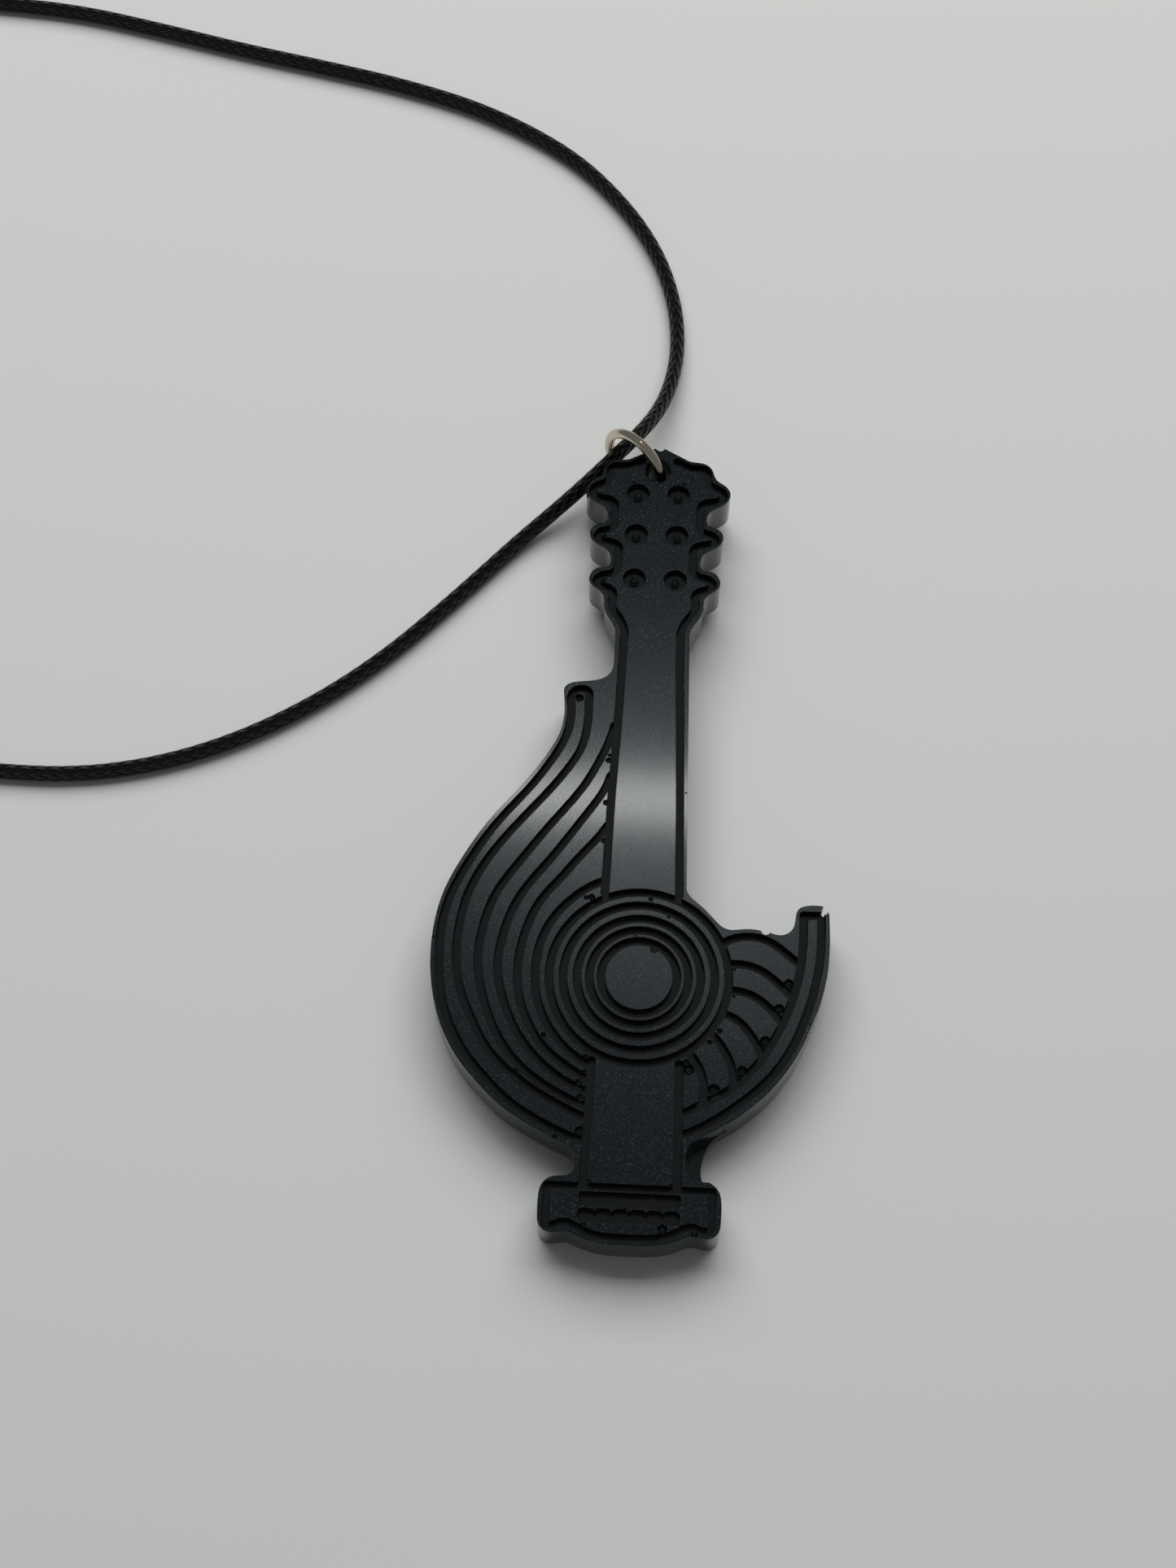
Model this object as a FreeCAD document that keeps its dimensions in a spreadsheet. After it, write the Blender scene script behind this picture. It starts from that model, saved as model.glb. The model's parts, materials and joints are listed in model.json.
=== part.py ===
import FreeCAD, Part
import math
import os

import Sketcher
from FreeCAD import Vector

# A guitar-shaped cast resin pendant on a jump ring, strung on a braided cord necklace.
# It lies face up on a flat surface: +Z up, +Y from the pendant's bridge block to its headstock.
# Lengths are in millimetres and angles in degrees.

os.makedirs("parts", exist_ok=True)
doc = FreeCAD.newDocument("pendant_necklace")

SIZES = {
    # pendant casting
    "pendant_length": 107.3,
    "plate_thickness": 6.0,
    "relief_depth": 1.0,
    "groove_width": 1.05,
    "disc_radius": 4.13,
    "hole_radius": 1.5,
    "hole_chamfer": 0.3,
    "recess_radius": 1.5,
    "post_radius": 0.62,
    "post_height": 0.6,
    "bridge_channel": 0.92,
    "disc_place_x": 1.21,
    "disc_place_y": -21.61,
    # jump ring
    "ring_outside": 10.8,
    "ring_wire": 1.35,
    "ring_turn": 49.0,
    "ring_lean": 8.0,
    # cord and its end caps
    "cord_diameter": 2.0,
    "cord_clearance": 0.05,
    "cap_wall": 0.45,
    "cap_grip": 5.0,
    "cap_length": 7.0,
    "crimp_depth": 0.2,
    "crimp_width": 0.8,
    "eye_hole": 1.5,
    "eye_wall": 0.6,
    "eye_thickness": 0.8,
    # small rings and extension chain
    "link_wire": 0.7,
    "link_ring_outside": 4.5,
    "chain_inner_length": 3.2,
    "chain_inner_width": 1.5,
    "chain_slack": 0.15,
    "chain_links": 10,
    "drop_radius": 1.45,
    "drop_length": 6.0,
    # lobster clasp
    "clasp_thickness": 2.8,
    "claw_outside": 3.1,
    "claw_inside": 1.9,
    "lever_thickness": 0.9,
    "lever_gap": 0.06,
    "pin_radius": 0.4,
    "pin_clearance": 0.04,
    "spring_strip": 0.15,
}

sheet = doc.addObject("Spreadsheet::Sheet", "Sheet")
for row, (alias, value) in enumerate(SIZES.items(), start=1):
    sheet.set("A%d" % row, alias)
    sheet.set("B%d" % row, str(value))
    sheet.setAlias("B%d" % row, alias)
doc.recompute()


def size(alias):
    return float(sheet.get(alias))


DRAWN_LENGTH = 107.3
plan_scale = size("pendant_length") / DRAWN_LENGTH


def plan(points):
    """Points of the drawing, whose origin is the sound disc's centre, at the pendant's size."""
    return [Vector(x * plan_scale, y * plan_scale, 0) for x, y in points]


def curve(points):
    """A line through two points, or a smooth curve through more."""
    if len(points) == 2:
        return Part.LineSegment(points[0], points[1])
    spline = Part.BSplineCurve()
    spline.interpolate(points)
    return spline


def prism(face, bottom, top):
    face = face.copy()
    face.translate(Vector(0, 0, bottom))
    return face.extrude(Vector(0, 0, top - bottom))


def stroke(points, width):
    """The flat face that a round-ended tool of this width clears along a centre line."""
    line = curve(points)
    steps = 1 if len(points) == 2 else 4 * (len(points) - 1)
    first, last = line.FirstParameter, line.LastParameter
    left, right = [], []
    for i in range(steps + 1):
        at = first + (last - first) * i / steps
        along = line.tangent(at)[0]
        across = Vector(-along.y, along.x, 0) * (width / 2)
        left.append(line.value(at) + across)
        right.append(line.value(at) - across)
    nose = line.value(last) + line.tangent(last)[0] * (width / 2)
    tail = line.value(first) - line.tangent(first)[0] * (width / 2)
    right.reverse()
    edges = [
        curve(left).toShape(),
        Part.Arc(left[-1], nose, right[0]).toShape(),
        curve(right).toShape(),
        Part.Arc(right[-1], tail, left[0]).toShape(),
    ]
    return Part.Face(Part.Wire(edges))


def annulus(centre, inner, outer):
    ring = Part.makeCylinder(outer, 1, centre).cut(Part.makeCylinder(inner, 1, centre))
    return [face for face in ring.Faces if abs(face.BoundBox.ZMax - centre.z) < 1e-6][0]


# Pendant outline -------------------------------------------------------------------------

HEAD_AXIS = -0.13
PEAK = [(0.62, 73.8), (3.9, 72.1)]
HEAD_SIDE = [
    (3.9, 72.1), (4.8, 71.95), (5.7, 71.85), (6.5, 71.5), (7.05, 70.8), (7.3, 70.1), (7.6, 69.5),
    (8.3, 68.95), (9.1, 68.3), (9.5, 67.5), (9.35, 66.6), (8.7, 65.8), (7.8, 65.25), (7.0, 64.7),
    (6.58, 64.0), (6.5, 63.2), (6.75, 62.65), (7.5, 62.35), (8.2, 62.0), (8.65, 61.4), (8.72, 60.6),
    (8.4, 59.9), (7.7, 59.3), (6.8, 58.8), (6.15, 58.2), (5.85, 57.4), (5.85, 56.6), (6.3, 56.05),
    (7.2, 55.9), (7.9, 55.6), (8.4, 54.9), (8.55, 54.1), (8.2, 53.4), (7.3, 52.7), (6.65, 52.0),
    (6.45, 51.2), (6.4, 50.3), (6.05, 49.2), (5.4, 48.2), (4.9, 47.2), (4.8, 46.0),
]
LEFT_SIDE = [
    (-4.9, 43.3), (-4.95, 42.0), (-5.25, 41.0), (-5.9, 40.3), (-6.9, 39.85), (-8.3, 39.6), (-9.6, 39.45),
    (-10.6, 39.1), (-11.1, 38.5), (-11.1, 37.6), (-10.95, 36.3), (-10.95, 34.5), (-11.3, 32.5),
    (-12.2, 30.4), (-13.35, 28.4), (-15.7, 25.0), (-19.6, 20.0), (-22.6, 15.0), (-24.8, 10.0),
    (-25.7, 5.5), (-25.85, 2.0), (-25.6, -1.2), (-25.0, -4.2), (-23.6, -8.1), (-21.4, -11.7),
    (-19.0, -14.4), (-16.15, -17.05), (-13.45, -18.8), (-11.3, -19.95), (-9.2, -20.95), (-7.9, -21.5),
    (-7.1, -22.2), (-6.75, -23.2), (-6.75, -24.2), (-7.1, -24.9), (-7.9, -25.3), (-9.0, -25.4),
    (-10.0, -25.8), (-10.7, -26.7), (-10.95, -28.0), (-10.95, -30.0), (-10.8, -31.2), (-10.2, -32.0),
    (-9.2, -32.3), (-8.2, -32.15), (-7.4, -32.1), (-6.3, -32.5), (-4.8, -33.05), (-3.0, -33.4),
    (0.0, -33.5), (3.0, -33.4), (4.9, -33.05), (6.4, -32.45), (7.5, -32.05), (8.3, -32.1),
    (9.3, -32.3), (10.3, -32.0), (10.85, -31.2), (11.0, -30.0), (11.0, -28.0), (10.75, -26.7),
    (10.0, -25.75), (9.2, -25.2), (8.65, -24.4), (8.45, -23.3), (8.55, -22.2), (8.85, -21.1), (9.4, -19.9),
    (10.5, -18.7), (12.2, -17.6), (13.8, -16.3),
    (15.7, -14.6), (17.8, -12.1), (19.2, -10.0), (20.35, -7.8), (21.45, -5.0), (22.3, -2.7),
    (22.85, -0.5), (23.2, 1.5), (23.4, 4.0), (23.42, 6.5), (23.3, 9.2),
]
HORN_CHIP = [[(23.3, 9.2), (23.1, 9.6)], [(23.1, 9.6), (22.9, 9.2)], [(22.9, 9.2), (22.5, 9.35), (22.1, 9.7)],
             [(22.1, 9.7), (22.55, 10.3)]]
RIGHT_SIDE = [
    (22.55, 10.3), (21.5, 10.38), (20.4, 10.25), (19.6, 9.9), (19.2, 9.2), (19.12, 8.4), (18.95, 7.5),
    (18.4, 6.7), (17.5, 6.3), (16.6, 6.35), (16.0, 6.55),
]
WAIST_CHIP = [[(16.0, 6.55), (15.6, 6.25), (15.1, 6.35)], [(15.1, 6.35), (14.85, 6.75)]]
NECK_FOOT = [
    (14.85, 6.75), (14.0, 6.88), (12.4, 6.82), (11.0, 6.7), (10.2, 6.95), (9.5, 7.5), (8.6, 8.45),
    (7.3, 9.7), (6.1, 10.7), (5.6, 11.4), (5.45, 12.4),
]


def mirrored(points, side):
    """Head points are drawn as distances from the head's axis: side is -1 for left, 1 for right."""
    return [(HEAD_AXIS + side * x, y) for x, y in points]


def outlineCurves():
    left_head = mirrored(HEAD_SIDE, -1)
    right_head = mirrored(HEAD_SIDE, 1)
    right_head.reverse()
    notch = [mirrored(PEAK, 1)[0], (HEAD_AXIS + 0.15, 73.42), mirrored(PEAK, -1)[0]]
    runs = [notch, mirrored(PEAK, -1), left_head, [left_head[-1], LEFT_SIDE[0]], LEFT_SIDE]
    runs += HORN_CHIP + [RIGHT_SIDE] + WAIST_CHIP + [NECK_FOOT]
    runs += [[NECK_FOOT[-1], (5.15, 25.0), (4.85, 38.0), right_head[0]], right_head]
    runs += [[right_head[-1], notch[0]]]
    return [curve(plan(run)) for run in runs]


def castingBlank():
    """The plain plate that the relief is cut into."""
    body = doc.addObject("PartDesign::Body", "casting_blank")
    sketch = body.newObject("Sketcher::SketchObject", "blank_outline")
    sketch.AttachmentSupport = [(originPlane(body, "XY_Plane"), "")]
    sketch.MapMode = "FlatFace"
    for piece in outlineCurves():
        sketch.addGeometry(piece, False)
    pad = body.newObject("PartDesign::Pad", "blank_pad")
    pad.Profile = sketch
    pad.setExpression("Length", "Sheet.plate_thickness")
    doc.recompute()
    return body


def originPlane(body, role):
    return [item for item in body.Origin.OriginFeatures if item.Role == role][0]


# Relief ------------------------------------------------------------------------------------

RING_GROOVES = [4.69, 6.10, 7.62, 9.35, 11.07]
NECK_GROOVES = [
    [(-4.7, 10.9), (-4.6, 14.0), (-4.5, 20.0), (-4.38, 25.0), (-4.15, 31.0), (-4.0, 36.0), (-3.9, 40.0),
     (-3.78, 46.2)],
    [(4.6, 10.9), (4.5, 14.0), (4.35, 20.0), (4.2, 25.0), (4.0, 30.5), (3.85, 35.0), (3.65, 40.0),
     (3.52, 46.2)],
]
HEAD_GROOVES = [
    [(3.65, 46.1), (3.8, 47.6), (4.6, 49.1), (5.35, 50.3), (5.4, 51.3), (5.3, 52.2)],
    [(5.3, 52.1), (5.75, 52.9), (6.6, 53.25), (7.35, 53.6), (7.6, 54.05)],
    [(7.6, 54.05), (7.2, 54.65), (6.3, 55.0), (5.4, 55.3), (4.95, 55.9), (4.87, 56.6)],
    [(4.87, 56.4), (4.87, 58.6)],
    [(4.87, 58.5), (5.15, 59.35), (6.0, 59.75), (7.1, 59.95), (7.75, 60.45)],
    [(7.75, 60.45), (7.45, 61.1), (6.7, 61.45), (5.95, 61.7), (5.65, 62.4)],
    [(5.62, 62.3), (5.65, 65.0)],
    [(5.65, 64.9), (5.95, 65.75), (6.9, 66.1), (8.1, 66.4), (8.65, 67.0)],
    [(8.65, 67.0), (8.4, 67.7), (7.6, 68.25), (6.85, 68.6), (6.5, 69.2)],
    [(6.45, 69.1), (6.45, 70.3)],
    [(6.45, 70.2), (6.15, 70.85), (5.4, 71.05), (4.2, 71.1), (3.2, 71.5), (2.3, 71.95)],
]
STRAND_GROOVES = [
    [(-7.9, 37.6), (-8.35, 38.4), (-9.3, 38.4), (-10.05, 37.8), (-10.1, 36.0), (-10.1, 34.0), (-10.5, 32.0),
     (-11.35, 30.0), (-12.6, 27.8), (-14.45, 25.0), (-18.35, 20.0), (-21.45, 15.0), (-23.75, 10.0),
     (-24.75, 5.0), (-24.65, 0.0), (-24.1, -3.75), (-22.6, -7.7), (-20.55, -11.0), (-18.2, -13.6),
     (-15.45, -16.2), (-12.9, -17.9), (-10.85, -19.0), (-8.5, -20.1), (-5.8, -21.0)],
    [(-7.9, 37.9), (-7.85, 36.0), (-7.95, 33.0), (-8.65, 30.0), (-9.95, 27.6), (-11.75, 25.0),
     (-15.75, 20.0), (-19.35, 15.0), (-21.7, 10.0), (-22.6, 5.0), (-22.5, 0.0), (-21.8, -2.85),
     (-20.0, -6.8), (-18.0, -10.1), (-15.7, -12.4), (-12.7, -14.6), (-8.9, -16.7), (-5.8, -18.2)],
    [(-4.5, 33.5), (-5.2, 30.9), (-6.2, 28.5), (-7.95, 25.1), (-11.65, 20.0), (-15.2, 15.0),
     (-18.3, 10.0), (-19.7, 5.0), (-19.85, 0.0), (-19.2, -2.9), (-17.6, -7.05), (-15.8, -10.0),
     (-13.6, -12.3), (-10.8, -14.3), (-5.8, -16.7)],
    [(-4.7, 26.6), (-5.4, 24.6), (-6.5, 22.7), (-8.3, 20.0), (-11.7, 15.0), (-15.2, 10.0),
     (-17.0, 5.0), (-17.42, 0.0), (-16.2, -4.55), (-14.9, -7.3), (-13.1, -9.8), (-10.85, -11.97),
     (-5.8, -14.85)],
    [(-4.8, 19.8), (-6.3, 17.6), (-8.45, 15.0), (-9.85, 13.1), (-11.55, 11.0), (-12.9, 9.0),
     (-14.0, 6.3), (-14.75, 3.3), (-14.98, 0.0), (-14.65, -3.0), (-13.55, -6.0), (-11.9, -8.7),
     (-9.3, -11.1), (-5.8, -13.2)],
    [(-4.7, 12.45), (-6.6, 11.55), (-8.75, 9.85), (-10.6, 7.75), (-11.95, 5.2), (-12.65, 2.5),
     (-12.78, 0.0), (-12.5, -2.9), (-11.65, -5.3), (-10.3, -7.55), (-8.5, -9.55), (-5.8, -11.4)],
]
WING_GROOVES = [
    [(20.1, 9.0), (20.12, 5.0), (19.87, 2.1), (19.53, 0.1), (19.0, -1.9), (18.35, -3.9), (17.5, -5.9),
     (16.55, -7.75), (15.45, -9.67), (13.85, -11.67), (11.9, -13.58), (8.7, -15.6), (5.6, -17.35)],
    [(22.3, 8.9), (22.35, 5.0), (22.1, 2.0), (21.75, 0.0), (21.3, -2.0), (20.35, -5.0), (19.35, -7.5),
     (18.1, -9.8), (16.6, -11.9), (14.6, -14.0), (12.2, -16.0), (10.0, -17.6), (7.9, -18.85),
     (5.6, -19.85)],
    [(20.1, 9.0), (22.2, 9.0)],
]
VANE_GROOVES = [
    [(10.4, 5.0), (12.0, 5.7), (13.5, 5.88), (15.0, 5.7), (16.5, 5.05), (18.0, 3.95), (19.6, 2.7)],
    [(11.0, 2.15), (12.4, 2.25), (13.7, 2.05), (15.2, 1.45), (16.5, 0.55), (17.7, -0.5), (18.9, -1.6)],
    [(11.0, -1.15), (12.5, -1.27), (13.7, -1.6), (15.0, -2.3), (16.2, -3.3), (17.0, -4.2), (17.8, -5.2)],
    [(10.3, -4.25), (11.6, -4.6), (12.6, -5.25), (13.6, -6.3), (14.5, -7.6), (15.4, -9.4)],
    [(9.0, -6.8), (10.1, -7.9), (10.9, -9.1), (11.5, -10.3), (11.85, -11.5), (12.0, -13.2)],
    [(6.5, -9.4), (7.6, -10.9), (8.1, -12.0), (8.4, -13.3), (8.4, -14.6), (8.1, -16.0)],
]
TAIL_GROOVES = [[(-5.35, -10.9), (-5.45, -17.0), (-5.68, -26.4)], [(5.35, -10.9), (5.5, -18.0), (5.65, -26.4)]]
BRIDGE_CHANNEL = [
    [(-9.95, -26.55), (9.9, -26.55)],
    [(-9.95, -26.55), (-9.95, -31.2)],
    [(9.9, -26.55), (9.9, -31.2)],
    [(-9.95, -31.2), (-9.3, -31.45), (-8.0, -30.98), (-7.0, -31.1), (-5.8, -31.7), (-4.0, -32.35),
     (-2.0, -32.6), (0.0, -32.62), (2.0, -32.58), (4.0, -32.35), (5.7, -31.7), (6.8, -31.1),
     (7.7, -30.98), (9.1, -31.4), (9.9, -31.2)],
]
POSTS = [(2.66, 66.9), (2.66, 60.95), (2.66, 54.45)]
HOLE = (-0.2, 70.4)
SADDLE_SLOT = [(-6.1, -28.95), (6.1, -27.15)]
SADDLE_CUPS = 6
CUP_ROW = [(-6.15, -30.95), (6.1, -29.15)]
WEB_HEIGHT = 2.6
WAIST_WALL = [
    (11.2, -18.1), (10.0, -18.95), (8.2, -20.0), (7.1, -20.75), (6.65, -21.6), (6.55, -22.8), (6.65, -24.1),
    (7.1, -24.9), (7.9, -25.3), (9.2, -25.4),
]
# casting bubbles: place and radius
BUBBLES = [
    (18.45, 0.0, 0.62), (18.8, -0.8, 0.35), (17.35, -3.3, 0.66), (17.6, -4.1, 0.36), (15.75, -7.5, 0.68),
    (15.7, -8.3, 0.36), (13.05, -11.35, 0.62), (12.6, -12.2, 0.34), (9.65, -13.95, 0.8), (9.0, -15.1, 0.4),
    (6.5, -11.5, 0.72), (6.2, -10.7, 0.45), (10.15, -6.45, 0.34), (8.95, -7.95, 0.34), (11.7, 1.55, 0.22),
    (11.75, -1.95, 0.2), (-5.0, 28.7, 0.42), (-4.9, 29.4, 0.24), (-5.1, 22.9, 0.4), (-5.1, 17.75, 0.38),
    (-6.3, 10.15, 0.45), (-7.0, 10.1, 0.3), (-9.1, 37.2, 0.55), (-14.45, -12.7, 0.38), (-11.35, -7.95, 0.34),
    (-6.1, -10.45, 0.3), (-6.1, -12.4, 0.32), (-6.75, -13.75, 0.5), (-6.45, -15.65, 0.52),
    (-6.25, -17.75, 0.42), (-6.35, -19.8, 0.62), (-9.35, -20.62, 0.28), (1.75, 3.7, 0.5), (1.1, 10.25, 0.3),
    (3.35, 8.0, 0.22), (-0.65, 5.45, 0.16), (3.25, 68.6, 0.22), (-3.4, 68.6, 0.2), (-4.95, -26.0, 0.28),
    (4.95, -26.0, 0.28), (2.75, -27.1, 0.32), (4.05, -31.35, 0.62), (-5.35, -31.2, 0.32), (7.85, -31.9, 0.4),
    (-0.2, -29.15, 0.4), (20.85, 8.55, 0.2), (-25.6, 4.05, 0.14), (21.2, -5.05, 0.14), (4.95, 24.7, 0.14),
    (-6.9, 60.45, 0.28), (-6.8, 54.0, 0.3), (-6.0, 51.2, 0.22),
]


def roundedSlot(corners, radius):
    """A rectangle with rounded corners."""
    low, high = plan(corners)
    face = Part.Face(Part.makePolygon([low, Vector(high.x, low.y, 0), high, Vector(low.x, high.y, 0), low]))
    solid = face.extrude(Vector(0, 0, 1))
    upright = [e for e in solid.Edges if abs(e.Vertexes[0].Z - e.Vertexes[-1].Z) > 0.5]
    rounded = solid.makeFillet(radius, upright)
    return [f for f in rounded.Faces if abs(f.BoundBox.ZMax) < 1e-6][0]


def reliefTools(floor, top):
    """Every groove, pocket and recess, as solids that stand above the plate's face."""
    width = size("groove_width")
    faces = [annulus(Vector(0, 0, 0), r * plan_scale - width / 2, r * plan_scale + width / 2)
             for r in RING_GROOVES]
    lines = NECK_GROOVES + STRAND_GROOVES + WING_GROOVES + VANE_GROOVES + TAIL_GROOVES
    for side in (-1, 1):
        lines += [mirrored(line, side) for line in HEAD_GROOVES]
    faces += [stroke(plan(line), width) for line in lines]
    faces += [stroke(plan(line), size("bridge_channel")) for line in BRIDGE_CHANNEL]
    faces.append(roundedSlot(SADDLE_SLOT, 0.35))
    low, high = CUP_ROW
    pitch = (high[0] - low[0]) / SADDLE_CUPS
    for k in range(SADDLE_CUPS):
        start = low[0] + k * pitch
        faces.append(roundedSlot([(start - 0.04, low[1]), (start + pitch + 0.04, high[1])], 0.7))
    return [prism(face, floor, top) for face in faces]


def tuningPosts(floor, top):
    """Round recesses, each with a domed post in its middle."""
    radius = size("post_radius")
    tools = []
    for side in (-1, 1):
        for at in plan(mirrored(POSTS, side)):
            recess = Part.makeCylinder(size("recess_radius"), top - floor, at + Vector(0, 0, floor))
            shank = Part.makeCylinder(radius, size("post_height") - radius / 2, at + Vector(0, 0, floor))
            dome = Part.makeSphere(radius, at + Vector(0, 0, floor + size("post_height") - radius))
            lower = Part.makeBox(8, 8, 8, at + Vector(-4, -4, floor - 8))
            tools.append(recess.cut([shank, dome.cut(lower)]))
    return tools


def hangingHole():
    """The hole for the jump ring, eased at both faces so that a curved wire passes."""
    at = plan([HOLE])[0]
    depth = size("plate_thickness")
    bore = Part.makeCylinder(size("hole_radius"), depth, at)
    ease = size("hole_chamfer")
    wide = size("hole_radius") + ease
    lower = Part.makeCone(wide, size("hole_radius"), ease, at)
    upper = Part.makeCone(size("hole_radius"), wide, ease, at + Vector(0, 0, depth - ease))
    return [bore, lower, upper]


def waistStep(top):
    """What is cleared above the low web of resin that fills the right-hand waist."""
    wall = curve(plan(WAIST_WALL))
    corner = plan([(13.0, -25.4), (13.0, -18.0)])
    first, last = wall.value(wall.FirstParameter), wall.value(wall.LastParameter)
    around = [Part.LineSegment(last, corner[0]), Part.LineSegment(corner[0], corner[1]),
              Part.LineSegment(corner[1], first)]
    outline = Part.Wire([wall.toShape()] + [line.toShape() for line in around])
    return prism(Part.Face(outline), WEB_HEIGHT, top)


def pendantShape(blank):
    face = size("plate_thickness")
    floor = face - size("relief_depth")
    over = face + 1.0
    relief = reliefTools(floor, over)
    tools = [relief[0].fuse(relief[1:])] + tuningPosts(floor, over) + hangingHole() + [waistStep(over)]
    for x, y, radius in BUBBLES:
        at = plan([(x, y)])[0]
        tools.append(Part.makeSphere(radius, at + Vector(0, 0, face - 0.25 * radius)))
    casting = blank.Shape.cut(tools)
    # two bubbles that touch can leave a loose crumb, so only the casting itself is kept
    casting = max(casting.Solids, key=lambda solid: solid.Volume)
    print("casting volume %.1f" % casting.Volume)
    return casting


# Resting place -------------------------------------------------------------------------------

BRIDGE_END = -33.5
ring_radius = (size("ring_outside") - size("ring_wire")) / 2
hole_at = plan([HOLE])[0]
heel = Vector(0, BRIDGE_END * plan_scale, 0)
turn = math.radians(size("ring_turn"))
lean = math.radians(size("ring_lean"))
# the ring stands across the strip of resin above the hole, level with the plate's middle
ring_reach = ring_radius - 0.55
ring_centre = hole_at + Vector(-math.sin(turn), math.cos(turn), 0) * ring_reach
ring_centre.z = size("plate_thickness") / 2
ring_normal = Vector(math.cos(turn) * math.cos(lean), math.sin(turn) * math.cos(lean), -math.sin(lean))
ring_drop = ring_radius * math.cos(lean) + size("ring_wire") / 2 - ring_centre.z
# the ring passes under the plate, so the head end is propped up and the bridge end touches down
rest_tilt = math.degrees(math.asin(ring_drop / (ring_centre - heel).Length))
place = Vector(size("disc_place_x"), size("disc_place_y"), 0)
tilted = FreeCAD.Placement(Vector(0, 0, 0), FreeCAD.Rotation(Vector(1, 0, 0), rest_tilt), heel)
resting = FreeCAD.Placement(place, FreeCAD.Rotation()).multiply(tilted)


def pendant():
    blank = castingBlank()
    feature = doc.addObject("Part::Feature", "pendant")
    feature.Label = "pendant"
    feature.Shape = pendantShape(blank)
    feature.Placement = resting
    return feature


def jumpRing():
    ring = doc.addObject("Part::Torus", "jump_ring")
    ring.Label = "jump_ring"
    ring.setExpression("Radius1", "(Sheet.ring_outside - Sheet.ring_wire) / 2")
    ring.setExpression("Radius2", "Sheet.ring_wire / 2")
    across = FreeCAD.Rotation(Vector(0, 0, 1), ring_normal)
    ring.Placement = resting.multiply(FreeCAD.Placement(ring_centre, across))
    return ring


# Cord ------------------------------------------------------------------------------------------

# The cord's route, from the end that carries the clasp to the end that carries the chain.
ROUTE = [
    (-121.0, 62.9, 1.5), (-127.0, 72.4, 1.5), (-134.5, 80.9, 1.0), (-141.0, 90.4, 1.0), (-143.0, 101.9, 1.0),
    (-139.5, 112.9, 1.0), (-131.5, 121.2, 1.0), (-120.8, 125.8, 1.0), (-109.3, 127.0, 1.0),
    (-97.7, 126.4, 1.0), (-86.0, 125.4, 1.0), (-73.8, 122.7, 1.0), (-61.6, 119.7, 1.0), (-49.5, 117.2, 1.0),
    (-37.6, 114.5, 1.0), (-25.3, 110.5, 1.0), (-13.3, 103.7, 1.0), (-5.6, 95.8, 1.0), (-0.6, 88.1, 1.0),
    (2.2, 80.0, 1.0), (3.0, 72.8, 1.2), (2.4, 66.6, 2.0), (0.9, 61.3, 3.2), (-1.3, 56.9, 4.8),
    (-4.2, 53.0, 5.6), (-8.5, 49.4, 4.1), (-12.8, 45.5, 2.4), (-16.7, 41.6, 1.3), (-21.1, 36.8, 1.0),
    (-26.1, 31.2, 1.0), (-33.5, 23.4, 1.0), (-42.0, 16.4, 1.0), (-51.5, 10.6, 1.0), (-61.4, 6.6, 1.0),
    (-71.7, 4.5, 1.0), (-82.0, 4.4, 1.0), (-92.2, 5.3, 1.0), (-102.2, 7.6, 1.0), (-111.6, 11.6, 1.0),
    (-119.9, 17.4, 1.5), (-127.0, 24.7, 1.5),
]
ARC_SHARE = 0.45
# a cord of another thickness lies on the same floor
CORD_LIFT = size("cord_diameter") / 2 - 1.0
ROUTE = [(x, y, z + CORD_LIFT) for x, y, z in ROUTE]


def cordTube(route, diameter):
    """A round tube along straight runs joined by arcs as large as the runs allow."""
    points = [Vector(*p) for p in route]
    edges = []
    radii = []
    start = points[0]
    for before, corner, after in zip(points, points[1:], points[2:]):
        arriving = (corner - before).normalize()
        leaving = (after - corner).normalize()
        half_turn = arriving.getAngle(leaving) / 2
        trim = ARC_SHARE * min((corner - before).Length, (after - corner).Length)
        radii.append(trim / math.tan(half_turn))
        enter = corner - arriving * trim
        leave = corner + leaving * trim
        inward = (leaving - arriving).normalize()
        crown = corner + inward * (radii[-1] / math.cos(half_turn) - radii[-1])
        edges.append(Part.LineSegment(start, enter).toShape())
        edges.append(Part.Arc(enter, crown, leave).toShape())
        start = leave
    edges.append(Part.LineSegment(start, points[-1]).toShape())
    path = Part.Wire(edges)
    circle = Part.Wire(Part.makeCircle(diameter / 2, points[0], points[1] - points[0]))
    tube = path.makePipeShell([circle], True, False, 1)
    expected = math.pi * diameter ** 2 / 4 * path.Length
    print("cord length %.1f mm, volume over section times length %.4f" % (path.Length, tube.Volume / expected))
    print("cord bend radii mm", [round(r, 1) for r in radii])
    return tube


def cord():
    feature = doc.addObject("Part::Feature", "cord")
    feature.Label = "cord"
    feature.Shape = cordTube(ROUTE, size("cord_diameter"))
    return feature


def endPlacement(end, before):
    """A fitting's own +X runs on from the cord's end, and its origin is that end."""
    end, before = Vector(*end), Vector(*before)
    return FreeCAD.Placement(end, FreeCAD.Rotation(Vector(1, 0, 0), end - before))


CLASP_END = endPlacement(ROUTE[0], ROUTE[1])
CHAIN_END = endPlacement(ROUTE[-1], ROUTE[-2])


# Fittings --------------------------------------------------------------------------------------

def closedSketch(body, name, role, corners):
    """A closed outline of straight lines on one of the body's own origin planes."""
    sketch = body.newObject("Sketcher::SketchObject", name)
    sketch.AttachmentSupport = [(originPlane(body, role), "")]
    sketch.MapMode = "FlatFace"
    points = [Vector(x, y, 0) for x, y in corners]
    for a, b in zip(points, points[1:] + points[:1]):
        sketch.addGeometry(Part.LineSegment(a, b), False)
    return sketch


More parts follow.
